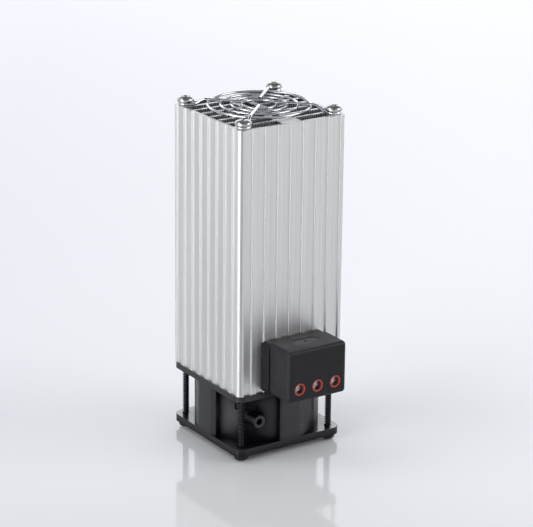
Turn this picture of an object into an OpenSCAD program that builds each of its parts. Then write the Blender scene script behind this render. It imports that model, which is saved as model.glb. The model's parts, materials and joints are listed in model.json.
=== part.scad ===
// Enclosure fan heater: a fluted aluminium body stands on an axial fan, with a wire guard on top,
// a terminal box on the front and a rail clip on the back. Millimetres, +Z up, front toward -Y.

/* [Heater body] */
// Outside width of the body
frame_w = 80; // [72:1:92]
// Length of the extruded body
profile_len = 176; // [150:1:240]
// Radius of the long outside corners
corner_r = 3.5; // [2:0.5:5]
// Spacing of the outside flutes and of the inside fins
flute_pitch = 9.5; // [9:0.1:10.5]
// Width of a flute, between the middles of its sides
flute_w = 5.2; // [3:0.1:6]
// Depth of a flute
flute_depth = 1; // [0.4:0.1:1.5]
// Width taken by each rounded side of a flute
ramp_w = 0.8; // [0.4:0.1:1.2]
// Wall left under the flutes
wall_t = 1.8; // [1.4:0.1:3]
// Thickness of an inside fin
fin_t = 2; // [1.2:0.1:2.6]
// Width of the web that carries the heating stack
web_w = 14; // [13:0.5:20]
// Length of the slot for the heating stack
slot_l = 54; // [40:1:58]
// Radius of the metal around each screw port
port_r = 5; // [4:0.1:6]
// Distance from the sides of the body to the screw axes
hole_inset = 6; // [4.5:0.1:7]

/* [Heating stack] */
// Thickness of a heating stone
stone_t = 2.4; // [2:0.1:3]
// Number of heating stones in a column
stone_rows = 4; // [3:1:6]
// Thickness of an electrode plate
electrode_t = 0.8; // [0.5:0.1:1.2]
// Thickness of the insulating sleeve
sleeve_t = 0.4; // [0.3:0.1:0.6]
// Distance from each end of the body to the stack
stack_inset = 12; // [8:1:20]

/* [Fan] */
// Depth of the fan frame
fan_depth = 41.5; // [36:0.5:48]
// Distance by which the fan frame stands out past the body
fan_over = 0.5; // [0:0.1:2]
// Thickness of the lower frame flange
low_flange_t = 4.9; // [3:0.1:6]
// Thickness of the upper frame flange
top_flange_t = 3.8; // [3:0.1:6]
// Radius of the flange corners
flange_r = 6.5; // [3:0.5:8]
// Distance by which the round of the barrel reaches past the sides of the frame
barrel_over = 0.5; // [0:0.1:2]
// Wall between the outside of the barrel and the air passage
barrel_wall = 4.6; // [2.8:0.1:5.5]
// Wall left behind the recess beside the earth boss
pocket_wall = 1.6; // [1.2:0.1:2.5]
// Distance from the fan axis to the edge of that recess on the front
pocket_x = 8.1; // [5:0.1:12]
// Distance from the fan axis to the edge of that recess on the left side
pocket_y = 11.5; // [8:0.1:16]
// Gap between the blade tips and the air passage
tip_gap = 1; // [0.6:0.1:2]
// Number of blades
blade_n = 7; // [5:1:9]
// Turn of a blade from its lower to its upper edge
blade_turn = 38; // [20:1:48]
// Thickness of a blade
blade_t = 1.8; // [1.4:0.1:2.4]
// Outside radius of the rotor hub
hub_r = 20; // [19:0.5:22]
// Height of the hub's closed face above the frame's underside
hub_z = 6; // [5.5:0.5:7]
// Diameter of the rotor shaft
shaft_d = 3; // [2.5:0.1:3.5]

/* [Earth boss] */
// Outside diameter of the boss
boss_d = 8.5; // [7:0.5:10]
// Diameter of its blind hole
boss_hole_d = 4.3; // [3:0.1:5]
// Distance of the boss to the left of the fan axis
boss_x = 23; // [18:0.1:25]
// Height of the boss above the frame's underside
boss_z = 21; // [14:0.5:24]

/* [Screws] */
// Diameter of the fan and guard screws
screw_d = 4.4; // [4:0.1:5]
// Length of a fan screw under its head
fan_screw_len = 56; // [50:1:60]
// Head diameter of the fan screws, the heater's feet
foot_d = 9.6; // [8.5:0.1:10.5]
// Head height of the fan screws
foot_h = 4.6; // [3.5:0.1:6]
// Length of a guard screw under its head
guard_screw_len = 16; // [10:1:25]
// Head diameter of the guard screws
guard_head_d = 10.8; // [9:0.1:11.5]
// Head height of the guard screws
guard_head_h = 3.5; // [3:0.1:5]
// Diameter of the small screws in the terminal base and the rail clip
small_d = 4; // [3:0.1:4.5]

/* [Finger guard] */
// Radius of the inner ring
ring_r1 = 11; // [9:0.1:13]
// Spacing of the inner rings
ring_step = 6.9; // [5:0.1:8]
// Distance from the edge of the air passage to the outer ring
ring_inset = 3.4; // [2:0.1:7]
// Number of rings
ring_n = 4; // [3:1:6]
// Wire diameter of the rings
ring_d = 1.6; // [1.2:0.1:2.2]
// Wire diameter of the legs
leg_d = 2; // [1.6:0.1:2.4]
// Height of the ring wire above the body
guard_rise = 3; // [2:0.1:6]
// Distance from the outer ring to the bend of a leg
knee_out = 3.6; // [2:0.1:5]

/* [Terminal box] */
// Width of the cover
cover_w = 44.4; // [42:0.2:50]
// Height of the cover
cover_h = 34.8; // [32:0.1:40]
// Depth of the cover in front of its base
cover_d = 21.9; // [20:0.1:26]
// Wall of the cover
cover_wall = 2.2; // [1.8:0.1:3]
// Radius of the cover's outside edges
cover_r = 2.5; // [1.5:0.5:3.5]
// Thickness of the base
base_t = 8.4; // [5:0.1:10]
// Distance by which the base stands out past the cover
base_lip = 0.7; // [0.5:0.1:2.5]
// Distance by which the base sits lower than the cover
base_drop = 1; // [0:0.1:1.2]
// Height of the cover above the lower end of the body
box_rise = 1.6; // [1.5:0.1:20]
// Spacing of the terminals
terminal_pitch = 13.6; // [12:0.1:14.4]
// Height of the terminals above the cover's underside
terminal_z = 8.9; // [7.6:0.1:9.5]
// Outside diameter of a screw well
well_d = 8.1; // [7:0.1:9]
// Inside diameter of a screw well
well_hole_d = 6.3; // [6:0.1:6.8]
// Depth from the mouth of a well to its screw
well_depth = 2.6; // [1.5:0.1:6]
// Length of the cable knock-out in the cover's top
knockout_l = 20; // [14:0.5:26]
// Width of the cable knock-out
knockout_w = 8.5; // [6:0.5:11]
// Diameter of the passage for the heater leads
lead_hole_d = 8; // [6:0.5:9]

/* [Rail clip] */
// Width of the mounting rail that the clip holds
rail_w = 35; // [34.6:0.1:35.4]
// Thickness of the rail's edge
rail_t = 1; // [0.8:0.1:1.5]
// Width of the clip
clip_w = 30; // [24:1:40]
// Thickness of the clip's plate
clip_t = 3; // [2.5:0.1:5]
// Height of the rail's centre line above the lower end of the body
clip_rise = 88; // [60:1:110]

/* [Hidden] */
$fn = 96;
eps = 0.01;
fit = 0.05;
gap = 0.3;
half = frame_w / 2;
inner = half - flute_depth - wall_t;
port = half - hole_inset;
body_z = fan_depth;
top_z = fan_depth + profile_len;
flute_n = 2 * floor((half - corner_r - flute_w / 2) / flute_pitch + 0.5);
fin_n = floor((inner - 3) / flute_pitch);
slot_w = stone_t + 2 * electrode_t + 2 * sleeve_t + 2 * fit;
screw_hole_d = screw_d + 2 * fit;
small_hole_d = small_d + 2 * fit;
flange_hole_d = screw_d + 0.4;

stack_z = body_z + stack_inset;
stack_h = profile_len - 2 * stack_inset;
stack_l = slot_l - 2 * fit;
sleeve_w = slot_w - fit;
stack_end = 2;
stone_gap = 1;
stone_end = stack_end + 0.5;
stone_h = (stack_h - 2 * stone_end + stone_gap) / stone_rows - stone_gap;
stone_l = (stack_l - 2 * sleeve_t - 2 * fit - stone_gap) / 2;

fan_half = half + fan_over;
fan_w = 2 * fan_half;
barrel_r = fan_half + barrel_over;
bore_r = barrel_r - barrel_wall;
pocket_r = bore_r + pocket_wall;
barrel_h = fan_depth - low_flange_t - top_flange_t;
lip_flare = 1.2;
boss_in = 2;
boss_hole_l = 5.5;
notch_w = 11;
notch_h = 4;
notch_depth = 0.6;
notch_x = boss_x + 8;
notch_z = boss_z + boss_d / 2 + 0.4;

hub_wall = 1.9;
hub_top = fan_depth - top_flange_t - 3;
plate_top = fan_depth - 0.5;
plate_z = plate_top - 3.4;
cup_r = hub_r - hub_wall - fit;
cup_wall = 1.5;
cup_z = hub_z + 2 + fit;
tube_r = 5.6;
bearing_r = 4;
bearing_h = 3.5;
bearing_room = 2.9;
tube_z = cup_z + cup_wall + 3.5;
stator_r = cup_r - cup_wall - 0.6;
stator_z = tube_z + 3;
stator_h = 9;
blade_r = bore_r - tip_gap;
blade_h = hub_top - hub_z - 1;

ring_r2 = bore_r - ring_inset;
ring_z = top_z + guard_rise;
weld = 0.3;
leg_z = ring_z + (ring_d + leg_d) / 2 - weld;
eye_play = 0.9;
eye_r = screw_d / 2 + eye_play + leg_d / 2;
eye_z = top_z + leg_d / 2 + eps;
eye_at = port * sqrt(2);
head_gap = 0.06;
guard_head_z = top_z + leg_d + head_gap;
knuckle = 0.3;
knuckle_d = 1.08 * leg_d;
foot_z = eye_z + (knuckle_d - leg_d) / 2 + eps;
leg_start = ring_r1 - 0.9 * leg_d;
leg_route = [[leg_start, leg_z], [ring_r2 + knee_out, leg_z],
             [eye_at - guard_head_d / 2 - leg_d, foot_z], [eye_at - eye_r, eye_z]];

box_z = body_z + box_rise;
base_y = -half - base_t;
rim_t = 2;
rim_y = base_y - rim_t;
cover_back = base_y - gap;
cover_y = base_y - cover_d;
base_w = cover_w + 2 * base_lip;
base_h = cover_h - 0.5;
rim_w = cover_w - 2 * cover_wall - 0.4;
rim_h = cover_h - 2 * cover_wall - 0.4;
well_z = box_z + terminal_z;
block_end = 5.5;
block_w = 2 * (terminal_pitch + block_end);
block_h = 10;
block_z = well_z - block_h / 2;
block_d = 11;
block_y = rim_y - block_d;
well_y = cover_y + 0.1;
head_y = well_y + well_depth;
head_t = 2.4;
floor_y = head_y + head_t;
clamp_w = 7;
clamp_l = 7;
clamp_hole_d = 3.5;
clamp_y1 = rim_y - 1.5;
clamp_y0 = clamp_y1 - clamp_l;
driver_slot = 1;
clamp_play = 0.1;
lead_back = 2.6;
knockout_y = base_y - 0.34 * cover_d;
knockout_depth = 0.3;
knockout_skin = 0.6;
knockout_groove = 1.4;
pip_d = 1.8;
pip_depth = 0.9;
lead_d = 2.2;
lead_bend = 5;
lead_z = box_z + cover_h - 2 * lead_bend;
base_screw_x = 1.5 * flute_pitch;
base_screw_z = box_z + cover_h / 2 + 3;

clip_z = body_z + clip_rise;
seat_t = 0.6;
grip = rail_t + 0.4;
lip_in = rail_w / 2 - 2.4;
lip_out = rail_w / 2 + 0.3;
lip_u = clip_t + seat_t + grip;
lip_t = 2.2;
hook_h = 5;
spring_l = 18;
clip_top = lip_out + hook_h;
clip_low = lip_out + spring_l;
tab_u = lip_u + lip_t + 1.4;
clip_screw_v = 7;
clip_bite = 8;
clip_head_t = 2.4;
back_reach = half + tab_u;
front_reach = -cover_y;
axis_y = (front_reach - back_reach) / 2;

aluminium = "LightGray";
black = [0.1, 0.1, 0.11];
steel = "Silver";

// Everything is drawn about the fan axis with the frame's underside at zero, then stood on its feet.
module placed() {
    translate([0, axis_y, foot_h]) children();
}

module rounded_rect(w, h, r) {
    square([w - 2 * r, h], center = true);
    square([w, h - 2 * r], center = true);
    for (x = [-1, 1], y = [-1, 1])
        translate([x * (w / 2 - r), y * (h / 2 - r)]) circle(r, $fn = 48);
}

// Lies along -Y from the point (x, y, z), the mouth toward -Y.
module along_y(x, y, z, d, l) {
    translate([x, y, z]) rotate([-90, 0, 0]) cylinder(d = d, h = l, $fn = 48);
}

module at_ports() {
    for (x = [-1, 1], y = [-1, 1]) translate([x * port, y * port, 0]) children();
}

// Pan head standing on z = 0 with its dome up, a rim, a flat top and a cross recess.
module pan_head(d, h) {
    rim = 0.42 * h;
    flat = 0.27 * d;
    c = (flat * flat + h * h - d * d / 4 - rim * rim) / (2 * (h - rim));
    r = sqrt(d * d / 4 + (rim - c) * (rim - c));
    difference() {
        intersection() {
            cylinder(d = d, h = h);
            translate([0, 0, c]) sphere(r);
        }
        for (a = [45, 135])
            rotate(a) translate([-0.27 * d, -0.065 * d, 0.45 * h]) cube([0.54 * d, 0.13 * d, h]);
    }
}

function ease(t) = (1 - cos(180 * t)) / 2;
function turn(p, a) = [p.x * cos(a) - p.y * sin(a), p.x * sin(a) + p.y * cos(a)];
ramp_n = 4;
face = [for (k = [0 : flute_n - 1]) let (c = (k - (flute_n - 1) / 2) * flute_pitch)
        each concat(
            [for (i = [0 : ramp_n]) let (t = i / ramp_n)
                [c - flute_w / 2 + ramp_w * (t - 0.5), flute_depth * ease(t) - half]],
            [for (i = [0 : ramp_n]) let (t = i / ramp_n)
                [c + flute_w / 2 + ramp_w * (t - 0.5), flute_depth * (1 - ease(t)) - half]])];
corner = [for (i = [0 : 8]) let (a = -90 + 90 * i / 8)
          [half - corner_r + corner_r * cos(a), corner_r - half + corner_r * sin(a)]];
outline = [for (s = [0 : 3]) each [for (p = concat(face, corner)) turn(p, 90 * s)]];

// One air channel, between two fins or between a fin and the wall.
module channel(k) {
    low = k < -fin_n ? -inner : k * flute_pitch + fin_t / 2;
    high = k + 1 > fin_n ? inner : (k + 1) * flute_pitch - fin_t / 2;
    translate([web_w / 2, low]) square([inner - web_w / 2, high - low]);
}

module body_section() {
    difference() {
        polygon(outline);
        difference() {
            for (m = [0, 1], k = [-fin_n - 1 : fin_n]) mirror([m, 0]) channel(k);
            at_ports() circle(port_r);
        }
        square([slot_w, slot_l], center = true);
        at_ports() circle(d = screw_hole_d);
    }
}

module heater_profile() {
    color(aluminium) difference() {
        translate([0, 0, body_z]) linear_extrude(profile_len) body_section();
        along_y(0, -half - 1, lead_z, lead_hole_d, half + 2 - slot_l / 2);
        for (x = [-1, 1])
            along_y(x * base_screw_x, -half - 1, base_screw_z, small_hole_d, half + 2 - inner);
        for (v = [-1, 1])
            along_y(0, half - clip_bite - 0.5, clip_z + v * clip_screw_v, small_hole_d, clip_bite + 1);
    }
}

// One straight of a leg, from point i of its route to the next, clear of the knuckles at its bends.
module leg_straight(i) {
    step = leg_route[i + 1] - leg_route[i];
    start = i > 0 ? knuckle : 0;
    end = i < len(leg_route) - 2 ? knuckle : 0;
    translate([leg_route[i].x, 0, leg_route[i].y]) rotate([0, 90 - atan2(step.y, step.x), 0])
        translate([0, 0, start]) cylinder(d = leg_d, h = norm(step) - start - end, $fn = 32);
}

// Straight over the rings, down past the outer ring, then flat to the eye around the screw.
module guard_leg() {
    for (i = [0 : len(leg_route) - 2]) leg_straight(i);
    for (i = [1 : len(leg_route) - 2])
        translate([leg_route[i].x, 0, leg_route[i].y]) sphere(d = knuckle_d, $fn = 32);
}

module guard_ring(r) {
    translate([0, 0, ring_z]) rotate_extrude() translate([r, 0]) circle(d = ring_d, $fn = 32);
}

module finger_guard() {
    color(steel) {
        for (i = [0 : ring_n - 2]) guard_ring(ring_r1 + ring_step * i);
        guard_ring(ring_r2);
        for (a = [45 : 90 : 315]) rotate(a) {
            guard_leg();
            translate([eye_at, 0, eye_z]) rotate_extrude()
                translate([eye_r, 0]) circle(d = leg_d, $fn = 32);
        }
    }
}

module guard_screws() {
    color(steel) at_ports() translate([0, 0, guard_head_z]) {
        pan_head(guard_head_d, guard_head_h);
        translate([0, 0, -guard_screw_len]) cylinder(d = screw_d, h = guard_screw_len + eps);
    }
}

module fan_screws() {
    color(black) at_ports() {
        mirror([0, 0, 1]) pan_head(foot_d, foot_h);
        translate([0, 0, -eps]) cylinder(d = screw_d, h = fan_screw_len + eps);
    }
}

// Barrel between the flanges, flush with their sides, with a shallow recess beside the earth boss.
module fan_barrel() {
    difference() {
        intersection() {
            cylinder(r = barrel_r, h = fan_depth, $fn = 180);
            translate([-fan_half, -fan_half, 0]) cube([fan_w, fan_w, fan_depth]);
        }
        difference() {
            translate([-fan_half, -fan_half - 1, low_flange_t])
                cube([fan_half - pocket_x, fan_half + 1 - pocket_y, barrel_h]);
            cylinder(r = pocket_r, h = fan_depth, $fn = 180);
        }
    }
}

module flange(z, t) {
    translate([0, 0, z]) linear_extrude(t) rounded_rect(fan_w, fan_w, flange_r);
}

// Shallow notch in the barrel over the earth boss.
module boss_notch() {
    difference() {
        translate([-notch_x, -fan_half - 1, notch_z]) cube([notch_w, fan_half, notch_h]);
        cylinder(r = pocket_r - notch_depth, h = fan_depth, $fn = 180);
    }
}

// Funnel at a mouth of the air passage, wide end at z = 0.
module mouth(t) {
    translate([0, 0, -eps])
        cylinder(r1 = bore_r + lip_flare, r2 = bore_r - lip_flare / 4, h = t + 1, $fn = 180);
}

// Arms, plate and bearing tube that carry the motor on the exhaust side.
module motor_mount() {
    for (a = [0, 90, 180, 270]) rotate(a)
        translate([tube_r + 8, -2, plate_z]) cube([bore_r + 1 - tube_r - 8, 4, plate_top - plate_z]);
    translate([0, 0, plate_z]) cylinder(r = hub_r - 0.5, h = plate_top - plate_z);
    difference() {
        translate([0, 0, tube_z]) cylinder(r = tube_r, h = plate_top - tube_z);
        translate([0, 0, tube_z - 1]) cylinder(r = bearing_r + fit / 2, h = plate_z - tube_z + 1);
    }
}

module fan_frame() {
    color(black) {
        difference() {
            union() {
                flange(0, low_flange_t);
                flange(fan_depth - top_flange_t, top_flange_t);
                fan_barrel();
                along_y(-boss_x, boss_in - fan_half, boss_z, boss_d, fan_half - boss_in);
            }
            translate([0, 0, -1]) cylinder(r = bore_r, h = fan_depth + 2, $fn = 180);
            mouth(low_flange_t);
            translate([0, 0, fan_depth]) mirror([0, 0, 1]) mouth(top_flange_t);
            at_ports() translate([0, 0, -1]) cylinder(d = flange_hole_d, h = fan_depth + 2);
            along_y(-boss_x, -fan_half, boss_z, boss_hole_d, boss_in + boss_hole_l);
            boss_notch();
        }
        motor_mount();
    }
}

module blade() {
    linear_extrude(height = blade_h, twist = -blade_turn, slices = 8, $fn = 8)
        translate([hub_r - 0.6, -blade_t / 2]) square([blade_r - hub_r + 0.6, blade_t]);
}

module impeller() {
    color(black) {
        difference() {
            translate([0, 0, hub_z]) cylinder(r = hub_r, h = hub_top - hub_z);
            translate([0, 0, hub_z + 2]) cylinder(r = hub_r - hub_wall, h = hub_top);
        }
        for (a = [0 : 360 / blade_n : 359]) rotate(a) translate([0, 0, hub_z + 0.5]) blade();
    }
}

module rotor_cup() {
    color(steel) difference() {
        union() {
            difference() {
                translate([0, 0, cup_z]) cylinder(r = cup_r, h = hub_top - cup_z);
                translate([0, 0, cup_z + cup_wall]) cylinder(r = cup_r - cup_wall, h = hub_top);
            }
            translate([0, 0, cup_z]) cylinder(r = bearing_r, h = cup_wall + 2.5);
        }
        translate([0, 0, cup_z - 1]) cylinder(d = shaft_d + fit, h = 10);
    }
}

module shaft() {
    color(steel) translate([0, 0, cup_z]) cylinder(d = shaft_d, h = plate_z - cup_z - 1.2);
}

module shaft_clip() {
    color(steel) translate([0, 0, plate_z - 2.6]) difference() {
        cylinder(d = shaft_d + 3, h = 0.6);
        translate([0, 0, -1]) cylinder(d = shaft_d + fit, h = 3);
    }
}

module bearings() {
    upper_z = plate_z - bearing_room - bearing_h;
    color(steel) for (z = [tube_z + 0.2, upper_z]) translate([0, 0, z]) difference() {
        cylinder(r = bearing_r, h = bearing_h);
        translate([0, 0, -1]) cylinder(d = shaft_d + 2 * fit, h = bearing_h + 2);
    }
}

module stator_core() {
    color("DimGray") translate([0, 0, stator_z]) linear_extrude(stator_h) difference() {
        union() {
            circle(tube_r + 2.6);
            for (a = [0, 90]) rotate(a) square([5, 2 * stator_r - 1.5], center = true);
            difference() {
                circle(stator_r);
                circle(stator_r - 2);
                for (a = [45, 135]) rotate(a) square([4, 2 * stator_r], center = true);
            }
        }
        circle(tube_r + fit);
    }
}

module stator_coils() {
    coil_r1 = tube_r + 2.6 + gap;
    coil_r2 = sqrt(pow(stator_r - 2 - gap, 2) - 5.4 * 5.4);
    color([0.7, 0.4, 0.2]) for (a = [0 : 90 : 270]) rotate(a) difference() {
        translate([coil_r1, -5.4, stator_z - 2.2]) cube([coil_r2 - coil_r1, 10.8, stator_h + 4.4]);
        translate([coil_r1 - 1, -2.5 - fit, stator_z - fit])
            cube([coil_r2, 5 + 2 * fit, stator_h + 2 * fit]);
    }
}

module terminal_base() {
    mid_z = box_z + cover_h / 2;
    color(black) difference() {
        union() {
            translate([0, -half, mid_z - base_drop]) rotate([90, 0, 0]) linear_extrude(base_t)
                rounded_rect(base_w, base_h, 3);
            translate([0, base_y + eps, mid_z]) rotate([90, 0, 0]) linear_extrude(rim_t + eps)
                rounded_rect(rim_w, rim_h, 1);
        }
        along_y(0, rim_y - 1, lead_z, lead_hole_d + 1, base_t + rim_t + 2);
        for (x = [-1, 1]) {
            along_y(x * base_screw_x, rim_y - 1, base_screw_z, small_hole_d, base_t + rim_t + 2);
            along_y(x * base_screw_x, rim_y - 1, base_screw_z, 2 * small_d + 0.6, 4);
        }
    }
}

module base_screws() {
    color(steel) for (x = [-1, 1])
        translate([x * base_screw_x, rim_y + 3, base_screw_z]) rotate([90, 0, 0]) {
        pan_head(2 * small_d - 0.2, 0.6 * small_d);
        mirror([0, 0, 1]) translate([0, 0, -eps]) cylinder(d = small_d, h = base_t + rim_t + 1, $fn = 48);
    }
}

// Outside of the cover: four balls at the front edges, four rods at the open back.
module cover_shape() {
    hull() for (x = [-1, 1], z = [0, 1])
        translate([x * (cover_w / 2 - cover_r), 0, box_z + cover_r + z * (cover_h - 2 * cover_r)]) {
            translate([0, cover_y + cover_r, 0]) sphere(cover_r, $fn = 32);
            translate([0, cover_back, 0]) rotate([90, 0, 0]) cylinder(r = cover_r, h = 1, $fn = 32);
        }
}

module oval(l, w) {
    square([l - w, w], center = true);
    for (x = [-1, 1]) translate([x * (l - w) / 2, 0]) circle(d = w);
}

// Cuts of the cable knock-out: a shallow oval with a pip above, a groove below that leaves a thin skin.
module knockout() {
    translate([0, 0, -knockout_depth]) linear_extrude(1) oval(knockout_l, knockout_w);
    translate([0, 0, -pip_depth]) cylinder(d = pip_d, h = 1);
    groove_h = cover_wall + 1 - knockout_depth - knockout_skin;
    translate([0, 0, -cover_wall - 1]) linear_extrude(groove_h) difference() {
        oval(knockout_l, knockout_w);
        oval(knockout_l - 2 * knockout_groove, knockout_w - 2 * knockout_groove);
    }
}

module terminal_cover() {
    color(black) difference() {
        cover_shape();
        translate([-cover_w / 2 + cover_wall, cover_y + cover_wall, box_z + cover_wall])
            cube([cover_w - 2 * cover_wall, cover_d, cover_h - 2 * cover_wall]);
        for (i = [-1 : 1]) along_y(i * terminal_pitch, cover_y - 1, well_z, well_d + 0.2, cover_wall + 2);
        translate([0, knockout_y, box_z + cover_h]) knockout();
    }
}

// Moulded block with three wells for the screws and three pockets, open above, for the clamps.
module terminal_block() {
    color("FireBrick") difference() {
        union() {
            translate([-block_w / 2, block_y, block_z]) cube([block_w, block_d, block_h]);
            for (i = [-1 : 1]) along_y(i * terminal_pitch, well_y, well_z, well_d, block_y - well_y + 1);
        }
        for (i = [-1 : 1]) {
            along_y(i * terminal_pitch, well_y - 1, well_z, well_hole_d, floor_y - well_y + 1);
            along_y(i * terminal_pitch, well_y - 1, well_z, clamp_hole_d + 0.4, clamp_y1 - well_y);
            translate([i * terminal_pitch - clamp_w / 2 - clamp_play, clamp_y0 - clamp_play, block_z + 1.4])
                cube([clamp_w + 2 * clamp_play, clamp_l + 2 * clamp_play, block_h]);
        }
    }
}

module terminal_screws() {
    color(steel) for (i = [-1 : 1]) translate([i * terminal_pitch, floor_y, well_z]) rotate([90, 0, 0]) {
        difference() {
            cylinder(d = well_hole_d - 0.5, h = head_t - fit);
            rotate(40) translate([-well_hole_d / 2, -driver_slot / 2, head_t / 2])
                cube([well_hole_d, driver_slot, head_t]);
        }
        mirror([0, 0, 1]) translate([0, 0, -eps])
            cylinder(d = clamp_hole_d - 2 * fit, h = clamp_y1 - 1.6 - floor_y, $fn = 48);
    }
}

module terminal_clamps() {
    color("Goldenrod") for (i = [-1 : 1]) difference() {
        translate([i * terminal_pitch - clamp_w / 2, clamp_y0, block_z + 1.5])
            cube([clamp_w, clamp_l, block_h - 2]);
        along_y(i * terminal_pitch, clamp_y0 - 1, well_z, clamp_hole_d, clamp_l);
        translate([i * terminal_pitch, clamp_y1 - lead_back, well_z])
            cylinder(d = lead_d + 0.6, h = block_h, $fn = 48);
    }
}

module insulating_sleeve() {
    color("Chocolate") translate([0, 0, stack_z]) linear_extrude(stack_h) difference() {
        square([sleeve_w, stack_l], center = true);
        square([sleeve_w - 2 * sleeve_t, stack_l - 2 * sleeve_t], center = true);
    }
}

module electrodes() {
    color(aluminium) for (m = [0, 1]) mirror([m, 0, 0])
        translate([stone_t / 2, -stack_l / 2 + sleeve_t + fit, stack_z + stack_end])
            cube([electrode_t, stack_l - 2 * sleeve_t - 2 * fit, stack_h - 2 * stack_end]);
}

module ptc_stones() {
    color("Gray") for (s = [-1, 1], r = [0 : stone_rows - 1])
        translate([-stone_t / 2, s * (stone_l + stone_gap) / 2 - stone_l / 2,
                   stack_z + stone_end + r * (stone_h + stone_gap)])
            cube([stone_t, stone_l, stone_h]);
}

// Round cord of eight sides swept along a route of points.
function unit(v) = v / norm(v);
function tangent(p, i) = unit(p[min(i + 1, len(p) - 1)] - p[max(i - 1, 0)]);
function side_of(t) = unit(cross(t, abs(t.z) > 0.8 ? [0, 1, 0] : [0, 0, 1]));
module cord(p, d) {
    n = 8;
    rings = [for (i = [0 : len(p) - 1]) let (t = tangent(p, i), u = side_of(t), v = cross(t, u))
             each [for (k = [0 : n - 1]) p[i] + d / 2 * (u * cos(360 * k / n) + v * sin(360 * k / n))]];
    sides = [for (i = [0 : len(p) - 2], k = [0 : n - 1]) let (a = i * n + k, b = i * n + (k + 1) % n)
             each [[a, b, b + n], [a, b + n, a + n]]];
    ends = [[for (k = [n - 1 : -1 : 0]) k], [for (k = [0 : n - 1]) (len(p) - 1) * n + k]];
    polyhedron(rings, concat(sides, ends));
}

// From an electrode's front edge through the wall, round a bend and down into an outer clamp.
module heater_leads() {
    y1 = clamp_y1 - lead_back;
    x1 = stone_t / 2 + electrode_t / 2 + 0.4;
    r = lead_bend;
    route = concat(
        [[x1, -slot_l / 2 - 0.4, lead_z], [x1, y1 + r + 2, lead_z]],
        [for (a = [15 : 15 : 90]) [x1 + r - r * cos(a), y1 + r + 2 - r * sin(a), lead_z]],
        [for (a = [15 : 15 : 90])
            [terminal_pitch - r + r * sin(a), y1 + 2 - 2 * a / 90, lead_z - r + r * cos(a)]],
        [[terminal_pitch, y1, well_z + 1.9]]);
    color("White") for (m = [0, 1]) mirror([m, 0, 0]) cord(route, lead_d);
}

// Side view of the clip: u out from the body's back, v up from the rail's centre line.
module clip_side() {
    seat_u = clip_t + seat_t;
    hook_u = lip_u + lip_t;
    spring = [[0, -clip_low - 2.4], [tab_u, -clip_low - 2.4], [tab_u, -clip_low], [hook_u, -clip_low],
              [hook_u, -lip_in - 1.8], [lip_u, -lip_in], [lip_u, -clip_low], [clip_t, -clip_low]];
    v1 = lip_in - 0.3;
    v0 = lip_in - 2.5;
    seats = [[clip_t, -v1], [seat_u, -v1], [seat_u, -v0], [clip_t, -v0],
             [clip_t, v0], [seat_u, v0], [seat_u, v1], [clip_t, v1]];
    hook = [[clip_t, lip_out], [lip_u, lip_out], [lip_u, lip_in], [hook_u, lip_in + 1.8],
            [hook_u, clip_top], [0, clip_top]];
    polygon(concat(spring, seats, hook));
}

module rail_clip() {
    color(black) translate([0, half, clip_z]) difference() {
        rotate([90, 0, 90]) translate([0, 0, -clip_w / 2]) linear_extrude(clip_w) clip_side();
        for (v = [-1, 1]) along_y(0, -1, v * clip_screw_v, small_hole_d, clip_t + 2);
    }
}

module clip_screws() {
    color(steel) for (v = [-1, 1])
        translate([0, half + clip_t, clip_z + v * clip_screw_v]) rotate([-90, 0, 0]) {
        pan_head(2 * small_d - 0.4, clip_head_t);
        mirror([0, 0, 1]) translate([0, 0, -eps]) cylinder(d = small_d, h = clip_t + clip_bite, $fn = 48);
    }
}

placed() heater_profile();
placed() finger_guard();
placed() guard_screws();
placed() fan_frame();
placed() fan_screws();
placed() impeller();
placed() rotor_cup();
placed() shaft();
placed() shaft_clip();
placed() bearings();
placed() stator_core();
placed() stator_coils();
placed() terminal_base();
placed() terminal_cover();
placed() terminal_block();
placed() terminal_screws();
placed() terminal_clamps();
placed() base_screws();
placed() insulating_sleeve();
placed() electrodes();
placed() ptc_stones();
placed() heater_leads();
placed() rail_clip();
placed() clip_screws();
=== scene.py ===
"""Looks of an enclosure fan heater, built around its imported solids.

Lengths in this file are millimetres about the fan axis, with zero at the underside of the fan frame.
The function at() turns them into the frame's metres.
"""
import json
import math

import bmesh
import bpy
from mathutils import Matrix, Vector

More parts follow.
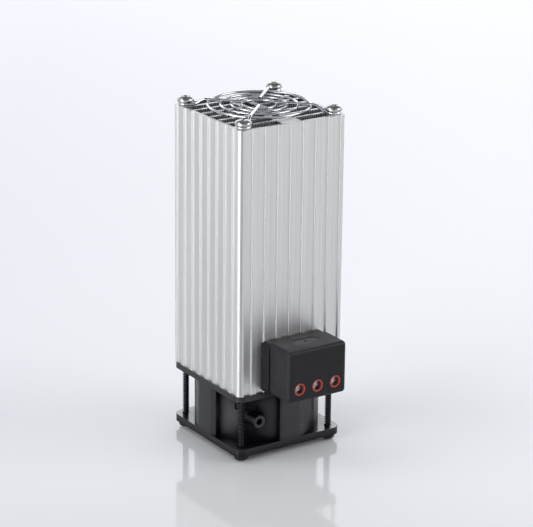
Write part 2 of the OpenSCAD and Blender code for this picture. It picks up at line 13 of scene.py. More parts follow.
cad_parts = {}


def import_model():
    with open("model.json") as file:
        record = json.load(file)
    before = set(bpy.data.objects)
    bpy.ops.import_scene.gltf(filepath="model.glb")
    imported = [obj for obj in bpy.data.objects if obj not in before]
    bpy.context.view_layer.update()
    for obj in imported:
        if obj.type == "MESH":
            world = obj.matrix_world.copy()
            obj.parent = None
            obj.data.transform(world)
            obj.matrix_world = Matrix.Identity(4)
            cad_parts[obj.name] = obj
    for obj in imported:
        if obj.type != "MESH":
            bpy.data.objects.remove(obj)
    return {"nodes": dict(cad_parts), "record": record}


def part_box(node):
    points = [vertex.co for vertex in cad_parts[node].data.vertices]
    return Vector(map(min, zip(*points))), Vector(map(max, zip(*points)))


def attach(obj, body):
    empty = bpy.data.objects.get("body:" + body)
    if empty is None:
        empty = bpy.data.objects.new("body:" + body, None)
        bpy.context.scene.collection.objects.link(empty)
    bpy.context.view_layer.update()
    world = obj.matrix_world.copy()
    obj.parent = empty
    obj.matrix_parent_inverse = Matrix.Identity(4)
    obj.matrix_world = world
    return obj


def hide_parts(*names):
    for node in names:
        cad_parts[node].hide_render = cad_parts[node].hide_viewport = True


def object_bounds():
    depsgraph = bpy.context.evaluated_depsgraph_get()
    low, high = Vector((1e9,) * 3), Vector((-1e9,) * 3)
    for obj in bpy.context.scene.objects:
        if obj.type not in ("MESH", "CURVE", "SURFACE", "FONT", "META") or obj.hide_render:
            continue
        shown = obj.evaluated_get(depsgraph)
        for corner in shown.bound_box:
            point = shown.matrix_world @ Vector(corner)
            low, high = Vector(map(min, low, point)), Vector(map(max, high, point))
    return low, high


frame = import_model()
cad_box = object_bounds()
nodes = frame["nodes"]
scene = bpy.context.scene

# Frame

MM = 0.001
fan_low, fan_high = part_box("fan_frame")
body_low, body_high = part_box("heater_profile")
ORIGIN = Vector(((fan_low.x + fan_high.x) / 2, (fan_low.y + fan_high.y) / 2, fan_low.z))
BODY_Z = (body_low.z - ORIGIN.z) / MM
TOP_Z = (body_high.z - ORIGIN.z) / MM
HALF = (body_high.x - body_low.x) / 2 / MM


def reach_x(node):
    """Half the width of a CAD node that lies evenly about the fan axis."""
    low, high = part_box(node)
    return (high.x - low.x) / 2 / MM


def at(x, y, z):
    """Frame position, in metres, of a point given in millimetres about the fan axis."""
    return ORIGIN + Vector((x, y, z)) * MM


# Body

FLUTE_PITCH = 9.5
FIN_T = 2.0
FIN_N = 3
WEB_W = 14.0
WALL = 2.8
INNER = HALF - WALL
CHANNEL_EDGE = 0.4
FLUTE_DEPTH = 1.2
FLANK_X = -0.68
FLANK_SPREAD = 0.3

# Terminal cover

KNOCKOUT = next(m for m in frame["record"]["mounts"] if m["name"] == "cable_knockout")
KNOCKOUT_L = 20.0
KNOCKOUT_W = 8.5

# Meshes

AXIS_R = 0.01


def mesh_piece(name, build, material, smooth_deg=35):
    """A closed mesh piece on the heater's body, shaded smooth up to an angle."""
    mesh = bpy.data.meshes.new(name)
    mesh.from_pydata([tuple(v) for v in build.verts], [], build.faces)
    mesh.update()
    tidy = bmesh.new()
    tidy.from_mesh(mesh)
    bmesh.ops.recalc_face_normals(tidy, faces=tidy.faces)
    tidy.to_mesh(mesh)
    tidy.free()
    mesh.shade_smooth()
    mesh.set_sharp_from_angle(angle=math.radians(smooth_deg))
    piece = bpy.data.objects.new(name, mesh)
    scene.collection.objects.link(piece)
    mesh.materials.append(material)
    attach(piece, "heater")
    return piece


def around(steps):
    """Angles of a full turn in equal steps."""
    return [2 * math.pi * k / steps for k in range(steps)]


class Build:
    """Collects the vertices and faces of one piece, in millimetres about the fan axis."""

    def __init__(self):
        self.verts = []
        self.faces = []

    def add(self, verts, faces):
        """Appends a mesh and numbers its faces on."""
        start = len(self.verts)
        self.verts.extend(at(*v) for v in verts)
        self.faces.extend(tuple(start + i for i in face) for face in faces)

    def loft(self, rings, closed=False):
        """Skins equal rings of points; an open loft gets a cap at each end."""
        sides = len(rings[0])
        verts = [p for ring in rings for p in ring]
        faces = []
        last = len(rings) if closed else len(rings) - 1
        for i in range(last):
            a, b = i * sides, (i + 1) % len(rings) * sides
            for k in range(sides):
                n = (k + 1) % sides
                faces.append((a + k, a + n, b + n, b + k))
        if not closed:
            faces.append(tuple(range(sides - 1, -1, -1)))
            faces.append(tuple((len(rings) - 1) * sides + k for k in range(sides)))
        self.add(verts, faces)

    def tube(self, path, radius, closed=False, sides=16):
        """Round wire along a path of points."""
        path = [Vector(p) for p in path]
        count = len(path)
        rings = []
        normal = None
        for i, p in enumerate(path):
            before = path[i - 1] if closed or i else p
            after = path[(i + 1) % count] if closed or i < count - 1 else p
            tangent = (after - before).normalized()
            if normal is None:
                normal = tangent.orthogonal()
            normal = (normal - tangent * normal.dot(tangent)).normalized()
            side = tangent.cross(normal)
            rings.append([p + (normal * math.cos(t) + side * math.sin(t)) * radius for t in around(sides)])
        self.loft(rings, closed)

    def lathe(self, profile, centre, steps=32):
        """Turns (radius, height) points about a vertical axis, and closes both ends on it."""
        x, y, z = centre
        profile = [(AXIS_R, profile[0][1]), *profile, (AXIS_R, profile[-1][1])]
        self.loft([[(x + r * math.cos(t), y + r * math.sin(t), z + h) for t in around(steps)]
                   for r, h in profile])


def circle_path(radius, z, steps=128):
    """Points of a level circle about the fan axis."""
    return [(radius * math.cos(t), radius * math.sin(t), z) for t in around(steps)]


def turned(point, degrees):
    """A point turned about the fan axis."""
    return Matrix.Rotation(math.radians(degrees), 3, "Z") @ Vector(point)


# Materials

DRAWN = (1, 1, 0.012)
DRAWN_DEPTH = 0.2 * MM
GRAIN_DEPTH = 0.3 * MM
EDGE_SAMPLES = 6
OPEN_SAMPLES = 8


def new_material(name):
    """An empty material with its node tree and shader."""
    material = bpy.data.materials.new(name)
    material.use_nodes = True
    tree = material.node_tree
    tree.nodes.clear()
    output = tree.nodes.new("ShaderNodeOutputMaterial")
    shader = tree.nodes.new("ShaderNodeBsdfPrincipled")
    tree.links.new(shader.outputs["BSDF"], output.inputs["Surface"])
    return material, tree, shader


def noise(tree, scale, stretch=(1, 1, 1), detail=3.0, roughness=0.5):
    """Noise over the object's own metres; stretch below 1 draws it out along that axis."""
    mapping = tree.nodes.new("ShaderNodeMapping")
    mapping.inputs["Scale"].default_value = stretch
    texture = tree.nodes.new("ShaderNodeTexNoise")
    texture.inputs["Scale"].default_value = scale
    texture.inputs["Detail"].default_value = detail
    texture.inputs["Roughness"].default_value = roughness
    tree.links.new(position(tree), mapping.inputs["Vector"])
    tree.links.new(mapping.outputs["Vector"], texture.inputs["Vector"])
    return texture.outputs["Fac"]


def ramp(tree, value, stops):
    """Colour ramp from (place, (r, g, b)) stops."""
    node = tree.nodes.new("ShaderNodeValToRGB")
    elements = node.color_ramp.elements
    while len(elements) < len(stops):
        elements.new(0.5)
    for element, (place, colour) in zip(elements, stops):
        element.position = place
        element.color = (*colour, 1)
    tree.links.new(value, node.inputs["Fac"])
    return node.outputs["Color"]


def span(tree, value, low, high, low_from=0.3, high_from=0.7):
    """Maps a value to a range; the first limits suit a noise."""
    node = tree.nodes.new("ShaderNodeMapRange")
    node.inputs["From Min"].default_value = low_from
    node.inputs["From Max"].default_value = high_from
    node.inputs["To Min"].default_value = low
    node.inputs["To Max"].default_value = high
    tree.links.new(value, node.inputs["Value"])
    return node.outputs["Result"]


def bump(tree, shader, height, strength, edge=0.0, depth=GRAIN_DEPTH):
    """Fine relief; edge rounds the shading of sharp edges over that many millimetres."""
    node = tree.nodes.new("ShaderNodeBump")
    if edge:
        soft = tree.nodes.new("ShaderNodeBevel")
        soft.samples = EDGE_SAMPLES
        soft.inputs["Radius"].default_value = edge * MM
        tree.links.new(soft.outputs["Normal"], node.inputs["Normal"])
    node.inputs["Strength"].default_value = strength
    node.inputs["Distance"].default_value = depth
    tree.links.new(height, node.inputs["Height"])
    tree.links.new(node.outputs["Normal"], shader.inputs["Normal"])


def compare(tree, value, centre, reach):
    """One where a value lies within reach of a centre, and zero elsewhere."""
    node = tree.nodes.new("ShaderNodeMath")
    node.operation = "COMPARE"
    node.inputs[1].default_value = centre
    node.inputs[2].default_value = reach
    tree.links.new(value, node.inputs[0])
    return node.outputs["Value"]


def product(tree, first, second):
    """Two values multiplied."""
    node = tree.nodes.new("ShaderNodeMath")
    node.operation = "MULTIPLY"
    tree.links.new(first, node.inputs[0])
    tree.links.new(second, node.inputs[1])
    return node.outputs["Value"]


def blend(tree, share, first, colour):
    """Goes from a colour socket to a plain colour by a share."""
    node = tree.nodes.new("ShaderNodeMix")
    node.data_type = "RGBA"
    node.inputs["B"].default_value = (*colour, 1)
    tree.links.new(share, node.inputs["Factor"])
    tree.links.new(first, node.inputs["A"])
    return node.outputs["Result"]


def split_xyz(tree, vector):
    """Outputs X, Y and Z of a vector."""
    node = tree.nodes.new("ShaderNodeSeparateXYZ")
    tree.links.new(vector, node.inputs["Vector"])
    return node.outputs


def position(tree):
    """The object's own metres, which are the frame's."""
    return tree.nodes.new("ShaderNodeTexCoord").outputs["Object"]


def facing(tree, axis, sign):
    """One on faces that look along an axis, and zero elsewhere."""
    geometry = tree.nodes.new("ShaderNodeNewGeometry")
    return compare(tree, split_xyz(tree, geometry.outputs["True Normal"])[axis], sign, 0.1)


def openness(tree, distance, low):
    """One on open faces, falling to a low share in corners within a distance in millimetres."""
    node = tree.nodes.new("ShaderNodeAmbientOcclusion")
    node.samples = OPEN_SAMPLES
    node.inputs["Distance"].default_value = distance * MM
    return span(tree, node.outputs["AO"], low, 1.0, 0.6, 1.0)


def metal(name, dark, light, rough, scale, stretch=(1, 1, 1)):
    """Metal whose tone and gloss vary with one noise."""
    material, tree, shader = new_material(name)
    tone = noise(tree, scale, stretch)
    tree.links.new(ramp(tree, tone, [(0.3, dark), (0.7, light)]), shader.inputs["Base Color"])
    tree.links.new(span(tree, tone, rough[0], rough[1]), shader.inputs["Roughness"])
    shader.inputs["Metallic"].default_value = 1.0
    return material


def plastic(name, dark, light, rough, blotch, grain_scale, grain, specular=0.5, edge=0.0):
    """Moulded or painted surface: uneven tone over the blotch size and a fine moulded grain."""
    material, tree, shader = new_material(name)
    tone = noise(tree, blotch, detail=4.0, roughness=0.6)
    tree.links.new(ramp(tree, tone, [(0.3, dark), (0.7, light)]), shader.inputs["Base Color"])
    tree.links.new(span(tree, tone, rough[0], rough[1]), shader.inputs["Roughness"])
    shader.inputs["Specular IOR Level"].default_value = specular
    bump(tree, shader, noise(tree, grain_scale, detail=2.0), grain, edge)
    return material


def body_metal(name):
    """Satin aluminium drawn along its length, with painted shade on the upright faces in the air channels
    and on the left-facing flanks of the front's flutes.
    """
    material, tree, shader = new_material(name)
    tone = noise(tree, 420, DRAWN)
    bright = ramp(tree, tone, [(0.3, (0.70, 0.70, 0.70)), (0.7, (0.78, 0.78, 0.775))])
    place = split_xyz(tree, position(tree))
    normal = split_xyz(tree, tree.nodes.new("ShaderNodeNewGeometry").outputs["Normal"])
    # Painted shade: the upright faces inside the air channels are darkened.
    limit = (INNER + CHANNEL_EDGE) * MM
    within_x = compare(tree, place["X"], ORIGIN.x, limit)
    within_y = compare(tree, place["Y"], ORIGIN.y, limit)
    upright = compare(tree, normal["Z"], 0.0, 0.5)
    painted_channel_shade = product(tree, product(tree, within_x, within_y), upright)
    # Painted shade: the front flutes' flanks that face left are darkened, which dims their highlights.
    front = compare(tree, place["Y"], body_low.y, FLUTE_DEPTH * MM)
    flank = product(tree, front, compare(tree, normal["X"], FLANK_X, FLANK_SPREAD))
    painted_flank_shade = blend(tree, flank, bright, (0.48, 0.48, 0.485))
    tree.links.new(blend(tree, painted_channel_shade, painted_flank_shade, (0.27, 0.28, 0.30)), shader.inputs["Base Color"])
    tree.links.new(span(tree, tone, 0.42, 0.52), shader.inputs["Roughness"])
    shader.inputs["Metallic"].default_value = 1.0
    bump(tree, shader, noise(tree, 1100, DRAWN, 2.0), 0.06, depth=DRAWN_DEPTH)
    return material


def fan_paint(name):
    """Black satin paint, with a painted reflection on the faces that look up, which get more specular and
    a coat, and painted shade in corners, where the specular falls.
    """
    material, tree, shader = new_material(name)
    tone = noise(tree, 120, detail=4.0, roughness=0.6)
    colour = ramp(tree, tone, [(0.3, (0.002, 0.002, 0.003)), (0.7, (0.004, 0.004, 0.006))])
    tree.links.new(colour, shader.inputs["Base Color"])
    # Painted reflection on the faces that look up and painted shade in corners, both through the specular
    # level.
    up = facing(tree, "Z", 1.0)
    painted_sheen_and_shade = product(tree, span(tree, up, 0.65, 1.1, 0.0, 1.0), openness(tree, 14, 0.05))
    tree.links.new(painted_sheen_and_shade, shader.inputs["Specular IOR Level"])
    tree.links.new(span(tree, up, 0.0, 1.0, 0.0, 1.0), shader.inputs["Coat Weight"])
    shader.inputs["Coat Roughness"].default_value = 0.12
    tree.links.new(span(tree, tone, 0.26, 0.36), shader.inputs["Roughness"])
    bump(tree, shader, noise(tree, 1500, detail=2.0), 0.03, 0.45)
    return material


def cover_grain(name):
    """Grained black plastic with painted shade on the front and a lighter oval on the top of the
    knock-out.
    """
    material, tree, shader = new_material(name)
    tone = noise(tree, 150, detail=4.0, roughness=0.6)
    grained = ramp(tree, tone, [(0.3, (0.008, 0.008, 0.010)), (0.7, (0.019, 0.0195, 0.024))])
    # Painted shade: faces that look to the front are darker.
    front = blend(tree, facing(tree, "Y", -1.0), grained, (0.004, 0.004, 0.006))
    oval = tree.nodes.new("ShaderNodeMapping")
    oval.vector_type = "TEXTURE"
    oval.inputs["Location"].default_value = KNOCKOUT["pos_m"]
    oval.inputs["Scale"].default_value = (KNOCKOUT_L / 2 * MM, KNOCKOUT_W / 2 * MM, 1.0)
    reach = tree.nodes.new("ShaderNodeVectorMath")
    reach.operation = "LENGTH"
    tree.links.new(position(tree), oval.inputs["Vector"])
    tree.links.new(oval.outputs["Vector"], reach.inputs[0])
    # A lighter oval on the top face of the knock-out.
    lighter_oval = product(tree, span(tree, reach.outputs["Value"], 1.0, 0.0, 0.7, 1.15), facing(tree, "Z", 1.0))
    tree.links.new(blend(tree, lighter_oval, front, (0.048, 0.049, 0.055)), shader.inputs["Base Color"])
    tree.links.new(span(tree, tone, 0.4, 0.56), shader.inputs["Roughness"])
    shader.inputs["Specular IOR Level"].default_value = 0.35
    bump(tree, shader, noise(tree, 2600, detail=2.0), 0.28, 0.3)
    return material


def well_red(name):
    """Moulded red plastic with painted shade that darkens it toward the bottom of the screw wells."""
    material, tree, shader = new_material(name)
    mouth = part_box("terminal_block")[0].y
    # Painted shade: the red goes darker deeper into the screw wells.
    depth = span(tree, split_xyz(tree, position(tree))["Y"], 0.0, 1.0, mouth + 0.1 * MM, mouth + 1.3 * MM)
    colour = ramp(tree, depth, [(0.0, (0.43, 0.05, 0.033)), (1.0, (0.05, 0.006, 0.005))])
    tree.links.new(colour, shader.inputs["Base Color"])
    tree.links.new(span(tree, noise(tree, 400), 0.3, 0.45), shader.inputs["Roughness"])
    bump(tree, shader, noise(tree, 2500, detail=2.0), 0.06)
    return material


MATERIALS = {
    "anodised_aluminium": body_metal("anodised_aluminium"),
    "chrome_wire": metal("chrome_wire", (0.60, 0.61, 0.63), (0.72, 0.73, 0.75), (0.04, 0.09), 300),
    "zinc_screw": metal("zinc_screw", (0.36, 0.38, 0.365), (0.52, 0.545, 0.52), (0.2, 0.34), 420),
    "fan_black": fan_paint("fan_black"),
    "black_screw": plastic("black_screw", (0.004, 0.004, 0.005), (0.010, 0.010, 0.011),
                           (0.14, 0.22), 500, 2500, 0.04, 0.3),
    "impeller_plastic": plastic("impeller_plastic", (0.012, 0.012, 0.013), (0.02, 0.02, 0.021),
                                (0.4, 0.55), 90, 2000, 0.08),
    "motor_steel": metal("motor_steel", (0.42, 0.42, 0.43), (0.55, 0.55, 0.56), (0.25, 0.4), 300),
    "bearing_steel": metal("bearing_steel", (0.5, 0.5, 0.52), (0.6, 0.6, 0.62), (0.15, 0.3), 300),
    "lamination_steel": metal("lamination_steel", (0.16, 0.16, 0.17), (0.25, 0.25, 0.26),
                              (0.4, 0.6), 900, (0.02, 0.02, 1)),
    "winding_copper": metal("winding_copper", (0.42, 0.17, 0.07), (0.6, 0.28, 0.12),
                            (0.25, 0.4), 1800, (0.02, 0.02, 1)),
    "base_plastic": plastic("base_plastic", (0.005, 0.005, 0.007), (0.010, 0.0105, 0.013),
                            (0.42, 0.58), 160, 2600, 0.25, 0.3, 0.45),
    "cover_plastic": cover_grain("cover_plastic"),
    "terminal_red": well_red("terminal_red"),
    "terminal_zinc": metal("terminal_zinc", (0.6, 0.61, 0.62), (0.76, 0.77, 0.78), (0.15, 0.3), 600),
    "clamp_brass": metal("clamp_brass", (0.55, 0.4, 0.17), (0.68, 0.52, 0.25), (0.25, 0.4), 500),
    "sleeve_film": plastic("sleeve_film", (0.36, 0.15, 0.02), (0.48, 0.22, 0.04),
                           (0.2, 0.35), 100, 900, 0.05),
    "electrode_aluminium": metal("electrode_aluminium", (0.6, 0.6, 0.61), (0.7, 0.7, 0.71),
                                 (0.3, 0.45), 400, DRAWN),
    "stone_ceramic": plastic("stone_ceramic", (0.26, 0.25, 0.24), (0.36, 0.35, 0.34),
                             (0.5, 0.7), 300, 1800, 0.1),
    "lead_silicone": plastic("lead_silicone", (0.68, 0.68, 0.66), (0.78, 0.78, 0.76),
                             (0.5, 0.65), 200, 1200, 0.05),
    "clip_plastic": plastic("clip_plastic", (0.014, 0.014, 0.015), (0.026, 0.027, 0.028),
                            (0.42, 0.58), 150, 2400, 0.15),
}


def crease_group(degrees):
    """Geometry nodes that keep every edge sharper than an angle sharp in the shading."""
    group = bpy.data.node_groups.new("creases", "GeometryNodeTree")
    group.interface.new_socket("Geometry", in_out="INPUT", socket_type="NodeSocketGeometry")
    group.interface.new_socket("Geometry", in_out="OUTPUT", socket_type="NodeSocketGeometry")
    start = group.nodes.new("NodeGroupInput")
    angle = group.nodes.new("GeometryNodeInputMeshEdgeAngle")
    steep = group.nodes.new("FunctionNodeCompare")
    steep.operation = "GREATER_THAN"
    steep.inputs[1].default_value = math.radians(degrees)
    crease = group.nodes.new("GeometryNodeSetShadeSmooth")
    crease.domain = "EDGE"
    crease.inputs["Shade Smooth"].default_value = False
    end = group.nodes.new("NodeGroupOutput")
    group.links.new(angle.outputs["Unsigned Angle"], steep.inputs[0])
    group.links.new(steep.outputs["Result"], crease.inputs["Selection"])
    group.links.new(start.outputs["Geometry"], crease.inputs["Geometry"])
    group.links.new(crease.outputs["Geometry"], end.inputs["Geometry"])
    return group


CREASE_DEG = 32
WELD_GAP = 0.002 * MM
CREASES = crease_group(CREASE_DEG)


def dress(node):
    """Gives a CAD node its material and smooth shading between its sharp edges."""
    piece = nodes[node]
    slot = next(s["material_slot"] for s in frame["record"]["subparts"] if s["node"] == node)
    piece.data.materials.clear()
    piece.data.materials.append(MATERIALS[slot])
    piece.data.shade_smooth()
    weld = piece.modifiers.new("weld", "WELD")
    weld.merge_threshold = WELD_GAP
    piece.modifiers.new("creases", "NODES").node_group = CREASES
    flat = piece.modifiers.new("flat faces", "WEIGHTED_NORMAL")
    flat.keep_sharp = True
    flat.weight = 100


# Screws

SCREW_D = 4.4
CORE_D = 2.9
THREAD_PITCH = 1.78
THREAD_ROOT = 0.8 * THREAD_PITCH
THREAD_CREST = 0.32 * THREAD_PITCH
THREAD_STEPS = 28
THREAD_START = 1.3
THREAD_SINK = 0.15
CORE_START = 0.1
TIP_L = 1.4
TIP_CHAMFER = 0.8
FAN_SCREW_LEN = 56.0
FOOT_D = 9.6
FOOT_H = (fan_low.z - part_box("fan_screws")[0].z) / MM
PORT = reach_x("fan_screws") - FOOT_D / 2
PORTS = [(sx * PORT, sy * PORT) for sx in (-1, 1) for sy in (-1, 1)]
GUARD_HEAD_D = 2 * (reach_x("guard_screws") - PORT)
GUARD_HEAD_H = 3.5
GUARD_HEAD_Z = (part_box("guard_screws")[1].z - ORIGIN.z) / MM - GUARD_HEAD_H
GUARD_SCREW_LEN = 16.0
GUARD_CHAMFER = 0.6
GUARD_OVERLAP = 0.02

# Turn of the first head and of each next one, in radians

FOOT_TURN = (0.35, 0.5)
GUARD_TURN = (0.6, 0.45)

# Pan heads, as shares of their diameter or height

CROSS_ARM = 0.26
CROSS_WIDTH = 0.07
CROSS_DEPTH = 0.5
CROSS_TAPER = ((0.86, 0.5), (0.62, 0.9), (0.3, 1.0))
RIM_H = 0.40
DOME_POWER = 2.6
DOME_EASE = 1.6
DOME_RINGS = 12
CORNER_STEPS = 12


def cross_reach(angle, arm, width):
    """Distance from the middle of a cross recess to its edge, along an angle."""
    folded = abs((angle + math.pi / 4) % (math.pi / 2) - math.pi / 4)
    if folded < math.atan2(width, arm):
        return arm / math.cos(folded)
    return width / math.sin(folded)


def screw_head(build, centre, d, h, spin, flip=False):
    """Pan head on its underside's centre: rim, dome and a tapered cross recess, in one skin."""
    arm, width, depth, rim = CROSS_ARM * d, CROSS_WIDTH * d, CROSS_DEPTH * h, RIM_H * h
    corner = math.atan2(width, arm)
    open_angle = math.pi / 2 - 2 * corner
    quarter = [-corner, 0.0, corner]
    quarter += [corner + open_angle * k / CORNER_STEPS for k in range(1, CORNER_STEPS)]
    angles = [q * math.pi / 2 + t for q in range(4) for t in quarter]

    def dome(r):
        return rim + (h - rim) * math.sqrt(max(0.0, 1 - (2 * r / d) ** DOME_POWER))

    # Flat underside, eased lower edge and upright rim
    lower = ((SCREW_D / 2 - 0.4, 0), (d / 2 - 0.35, 0), (d / 2 - 0.1, 0.1), (d / 2, 0.35), (d / 2, rim))
    rings = [[point] * len(angles) for point in lower]
    for k in range(1, DOME_RINGS + 1):
        share = 1 - (1 - k / DOME_RINGS) ** DOME_EASE
        edge = [d / 2 + (cross_reach(a, arm, width) - d / 2) * share for a in angles]
        rings.append([(r, dome(r)) for r in edge])
    for taper, drop in CROSS_TAPER:
        rings.append([(taper * cross_reach(a, arm, width), h - depth * drop) for a in angles])
    x, y, z0 = centre
    sign = -1 if flip else 1
    build.loft([[(x + r * math.cos(a + spin), y + r * math.sin(a + spin), z0 + sign * z)
                 for a, (r, z) in zip(angles, ring)] for ring in rings])


def thread(build, centre, z0, z1):
    """Round core with a flat-topped thread wound round it, which runs out over a turn at each end."""
    x, y = centre
    count = int((z1 - z0) / THREAD_PITCH * THREAD_STEPS)
    root, crest = THREAD_ROOT / 2, THREAD_CREST / 2
    core = CORE_D / 2 - THREAD_SINK
    rings = []
    for i in range(count + 1):
        angle = 2 * math.pi * i / THREAD_STEPS
        z = z0 + THREAD_PITCH * i / THREAD_STEPS
        fade = min(1.0, i / THREAD_STEPS, (count - i) / THREAD_STEPS)
        top = CORE_D / 2 + (SCREW_D - CORE_D) / 2 * max(fade, 0.05)
        section = ((core, -root), (top, -crest), (top, crest), (core, root))
        rings.append([(x + r * math.cos(angle), y + r * math.sin(angle), z + dz) for r, dz in section])
    build.loft(rings)
    end = z1 + TIP_L
    build.lathe([(CORE_D / 2, CORE_START), (CORE_D / 2, end - TIP_CHAMFER),
                 (CORE_D / 2 - TIP_CHAMFER, end)], (x, y, 0))


def fan_screws():
    """Long black screws through the fan; their pan heads are the feet."""
    heads = Build()
    shanks = Build()
    for i, (x, y) in enumerate(PORTS):
        screw_head(heads, (x, y, 0), FOOT_D, FOOT_H, FOOT_TURN[0] + FOOT_TURN[1] * i, flip=True)
        thread(shanks, (x, y), THREAD_START, FAN_SCREW_LEN - TIP_L)
    head = mesh_piece("foot_heads", heads, MATERIALS["black_screw"])
    shank = mesh_piece("fan_screw_threads", shanks, MATERIALS["black_screw"], smooth_deg=50)
    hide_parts("fan_screws")
    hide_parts("fan_screws")


def guard_screws():
    """Zinc-plated pan-head screws that hold the guard."""
    screws = Build()
    for i, (x, y) in enumerate(PORTS):
        spin = GUARD_TURN[0] + GUARD_TURN[1] * i
        screw_head(screws, (x, y, GUARD_HEAD_Z), GUARD_HEAD_D, GUARD_HEAD_H, spin)
        screws.lathe([(SCREW_D / 2 - GUARD_CHAMFER, -GUARD_SCREW_LEN),
                      (SCREW_D / 2, GUARD_CHAMFER - GUARD_SCREW_LEN), (SCREW_D / 2, GUARD_OVERLAP)],
                     (x, y, GUARD_HEAD_Z))
    piece = mesh_piece("guard_screw_heads", screws, MATERIALS["zinc_screw"])
    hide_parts("guard_screws")


# Finger guard

RING_R1 = 11.0
RING_STEP = 6.9
RING_R2 = 33.0
INNER_RINGS = 3
RING_WIRE = 1.6
LEG_WIRE = 2.0
GUARD_RISE = 3.0
WELD_BITE = 0.3
EYE_R = reach_x("finger_guard") - LEG_WIRE / 2 - PORT
EYE_START_DEG = 112
EYE_SWEEP_DEG = 302
EYE_STEPS = 36
EYE_GAP = 0.01
LEG_OFFSET = 1.6
LEG_OVERHANG = 1.8
LEG_BEND_OUT = 3.6
LEG_BEND_LEAD = 2.0
LEG_STRAIGHT = 8.0
LEG_SLOPE_RUN = 4.1
LEG_FOOT = Vector((1.2, 0.3, 0.0))
LEG_PULL = Vector((-3.6, 1.1, 0.0))


def bezier(a, b, c, steps):
    """Points of a quadratic curve after its start, in the order of its corners."""
    a, b, c = Vector(a), Vector(b), Vector(c)
    shares = [k / steps for k in range(1, steps + 1)]
    return [(1 - t) ** 2 * a + 2 * t * (1 - t) * b + t * t * c for t in shares]


def leg_path(reach, leg_z, eye_z):
    """One leg along +X: over the rings, down past the outer one, then round its screw in an open eye."""
    side = LEG_OFFSET
    bend = RING_R2 + LEG_BEND_OUT
    foot = bend + LEG_SLOPE_RUN
    high = Vector((bend, side, leg_z))
    low = Vector((foot, side, eye_z))
    slope = high.lerp(low, 0.5)
    path = [Vector((x, side, leg_z))
            for x in (RING_R1 - LEG_OVERHANG, RING_R2 - LEG_STRAIGHT, bend - LEG_BEND_LEAD)]
    path += bezier(path[-1], high, slope, 8)
    path += bezier(slope, low, low + LEG_FOOT, 8)
    enter = math.radians(EYE_START_DEG)
    on_eye = Vector((reach + EYE_R * math.cos(enter), EYE_R * math.sin(enter), eye_z))
    path += bezier(path[-1], Vector((reach, side, eye_z)) + LEG_PULL, on_eye, 6)
    for k in range(1, EYE_STEPS + 1):
        angle = enter - math.radians(EYE_SWEEP_DEG) * k / EYE_STEPS
        path.append(Vector((reach + EYE_R * math.cos(angle), EYE_R * math.sin(angle), eye_z)))
    return path


def finger_guard():
    """Welded rings under four legs, each bent down to an eye around its screw."""
    wire = Build()
    ring_z = TOP_Z + GUARD_RISE
    leg_z = ring_z + (RING_WIRE + LEG_WIRE) / 2 - WELD_BITE
    eye_z = TOP_Z + LEG_WIRE / 2 + EYE_GAP
    for radius in [RING_R1 + RING_STEP * i for i in range(INNER_RINGS)] + [RING_R2]:
        wire.tube(circle_path(radius, ring_z), RING_WIRE / 2, closed=True)
    for degrees in (45, 135, 225, 315):
        path = leg_path(PORT * math.sqrt(2), leg_z, eye_z)
        wire.tube([turned(p, degrees) for p in path], LEG_WIRE / 2)
    piece = mesh_piece("guard_wire", wire, MATERIALS["chrome_wire"], smooth_deg=60)
    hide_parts("finger_guard")


# Fins

RIB_PITCH = 1.7
RIB_H = 0.5
RIB_BITE = 0.1
RIB_END = 0.05
RIB_SECTION = ((0.35, 0.05), (0.6, RIB_BITE + RIB_H), (1.1, RIB_BITE + RIB_H), (1.35, 0.05))


def fin_ribs():
    """Fine upright ribs extruded on both faces of every fin."""
    ribs = Build()
    count = int((INNER - WEB_W / 2) / RIB_PITCH)
    for k in range(-FIN_N, FIN_N + 1):
        for face in (-1, 1):
            root = k * FLUTE_PITCH + face * (FIN_T / 2 - RIB_BITE)
            for side in (-1, 1):
                outline = [(side * (WEB_W / 2 + count * RIB_PITCH), root), (side * WEB_W / 2, root)]
                for i in range(count):
                    x = WEB_W / 2 + i * RIB_PITCH
                    outline += [(side * (x + along), root + face * up) for along, up in RIB_SECTION]
                ends = (BODY_Z + RIB_END, TOP_Z - RIB_END)
                ribs.loft([[(x, y, z) for x, y in outline] for z in ends])
    bright = metal("rib_aluminium", (0.62, 0.63, 0.64), (0.72, 0.73, 0.74), (0.3, 0.42), 420, DRAWN)
    mesh_piece("fin_ribs", ribs, bright, smooth_deg=20)


# Stage

PHOTO_W = 533
FOCAL_PX = 2347.76
SENSOR_MM = 36.0
CAMERA_AT = (-797.83, -1206.32, 601.97)
CAMERA_TARGET = (6.852, 0.0, 112.43)
CAMERA_ROLL = 0.600
BACKDROP = (0.555, 0.832, 0.0)
TO_THE_RIGHT = (0.832, -0.555, 0.0)
TABLE_R = 8.0
TABLE_DROP = 0.05 * MM
TABLE_STEPS = 64
WALLS = (0.84, 0.85, 0.87)
CEILING = (0.24, 0.245, 0.26)
CEILING_MIDDLE = (0.16, 0.165, 0.18)
GLOW = (1.3, 1.34, 1.44)
NO_GLOW = (0.0, 0.0, 0.0)

# Name, azimuth and elevation in degrees, distance and size in metres, watts
LAMPS = (
    ("key", -80, 10, 1.4, (0.85, 0.65), 10.5),
    ("fill", 48, 30, 1.6, (1.0, 0.9), 8.0),
    ("top", -115, 52, 1.6, (0.7, 0.7), 5.0),
)


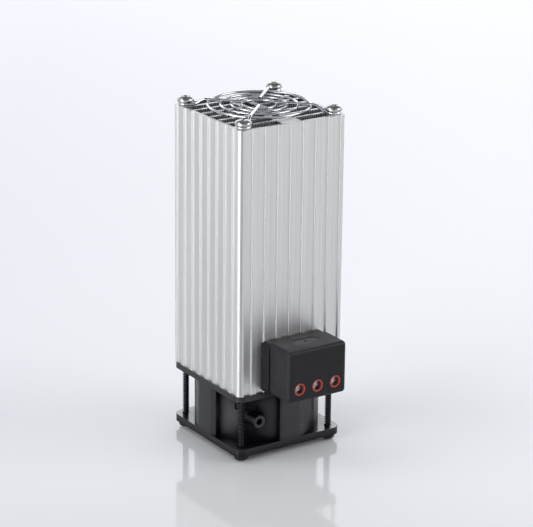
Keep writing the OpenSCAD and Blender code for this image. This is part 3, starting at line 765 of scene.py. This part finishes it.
def camera():
    """Long lens from the front left, looking down on the top."""
    eye = at(*CAMERA_AT)
    back = (eye - at(*CAMERA_TARGET)).normalized()
    right = Vector((0, 0, 1)).cross(back).normalized()
    up = back.cross(right)
    roll = math.radians(CAMERA_ROLL)
    right, up = right * math.cos(roll) + up * math.sin(roll), up * math.cos(roll) - right * math.sin(roll)
    data = bpy.data.cameras.new("camera")
    data.sensor_width = SENSOR_MM
    data.lens = FOCAL_PX * SENSOR_MM / PHOTO_W
    data.clip_end = 50
    seen = bpy.data.objects.new("camera", data)
    seen.matrix_world = Matrix((right, up, back)).transposed().to_4x4()
    seen.location = eye
    scene.collection.objects.link(seen)
    scene.camera = seen


def area_light(name, azimuth, elevation, distance, size, watts):
    """Soft box aimed at the middle of the object; azimuth 0 is the front, positive to the right."""
    a, e = math.radians(azimuth), math.radians(elevation)
    middle = at(0, 0, TOP_Z / 2)
    data = bpy.data.lights.new(name, "AREA")
    data.shape = "RECTANGLE"
    data.size, data.size_y = size
    data.energy = watts
    lamp = bpy.data.objects.new(name, data)
    lamp.visible_camera = False
    place = Vector((math.sin(a) * math.cos(e), -math.cos(a) * math.cos(e), math.sin(e)))
    lamp.location = middle + place * distance
    lamp.rotation_euler = place.to_track_quat("Z", "Y").to_euler()
    scene.collection.objects.link(lamp)


def floor():
    """Pale glossy table top, lighter toward the right with painted light there and painted shade toward
    the left, and clear when it is seen from below.
    """
    material, tree, shader = new_material("table")
    across = tree.nodes.new("ShaderNodeVectorMath")
    across.operation = "DOT_PRODUCT"
    across.inputs[1].default_value = TO_THE_RIGHT
    tree.links.new(position(tree), across.inputs[0])
    # Painted light and shade: the table's colour runs from darker on the left to lighter on the right.
    tone = span(tree, across.outputs["Value"], 0.0, 1.0, -0.25, 0.2)
    tree.links.new(ramp(tree, tone, [(0.0, (0.76, 0.775, 0.80)), (0.55, (0.87, 0.875, 0.893)),
                                     (1.0, (0.93, 0.932, 0.945))]), shader.inputs["Base Color"])
    tree.links.new(span(tree, noise(tree, 6.0), 0.05, 0.09), shader.inputs["Roughness"])
    shader.inputs["IOR"].default_value = 1.45
    geometry = tree.nodes.new("ShaderNodeNewGeometry")
    clear = tree.nodes.new("ShaderNodeBsdfTransparent")
    sides = tree.nodes.new("ShaderNodeMixShader")
    tree.links.new(geometry.outputs["Backfacing"], sides.inputs["Fac"])
    tree.links.new(shader.outputs["BSDF"], sides.inputs[1])
    tree.links.new(clear.outputs["BSDF"], sides.inputs[2])
    tree.links.new(sides.outputs["Shader"], tree.nodes["Material Output"].inputs["Surface"])
    mesh = bpy.data.meshes.new("table")
    rim = [(TABLE_R * math.cos(t), TABLE_R * math.sin(t), 0) for t in around(TABLE_STEPS)]
    mesh.from_pydata(rim, [], [tuple(range(TABLE_STEPS))])
    mesh.materials.append(material)
    table = bpy.data.objects.new("table", mesh)
    table.location.z = cad_box[0][2] - TABLE_DROP
    scene.collection.objects.link(table)


def world():
    """Pale walls under a darker ceiling, with a bright cool backdrop behind the object."""
    sky = bpy.data.worlds.new("studio")
    sky.use_nodes = True
    tree = sky.node_tree
    direction = tree.nodes.new("ShaderNodeTexCoord").outputs["Generated"]
    height = split_xyz(tree, direction)["Z"]
    shade = ramp(tree, height, [(0.0, WALLS), (0.34, WALLS), (0.5, CEILING), (1.0, CEILING_MIDDLE)])
    band = ramp(tree, height, [(0.0, NO_GLOW), (0.14, GLOW), (0.38, GLOW), (0.52, NO_GLOW)])
    behind = tree.nodes.new("ShaderNodeVectorMath")
    behind.operation = "DOT_PRODUCT"
    behind.inputs[1].default_value = BACKDROP
    tree.links.new(direction, behind.inputs[0])
    share = span(tree, behind.outputs["Value"], 0.0, 1.0, 0.45, 0.8)
    add = tree.nodes.new("ShaderNodeMix")
    add.data_type = "RGBA"
    add.blend_type = "ADD"
    tree.links.new(share, add.inputs["Factor"])
    tree.links.new(shade, add.inputs["A"])
    tree.links.new(band, add.inputs["B"])
    background = tree.nodes["Background"]
    tree.links.new(add.outputs["Result"], background.inputs["Color"])
    background.inputs["Strength"].default_value = 1.0
    scene.world = sky


scene.view_settings.view_transform = "Standard"
camera()
world()
floor()
for lamp in LAMPS:
    area_light(*lamp)

for name in nodes:
    dress(name)
finger_guard()
fan_screws()
guard_screws()
fin_ribs()
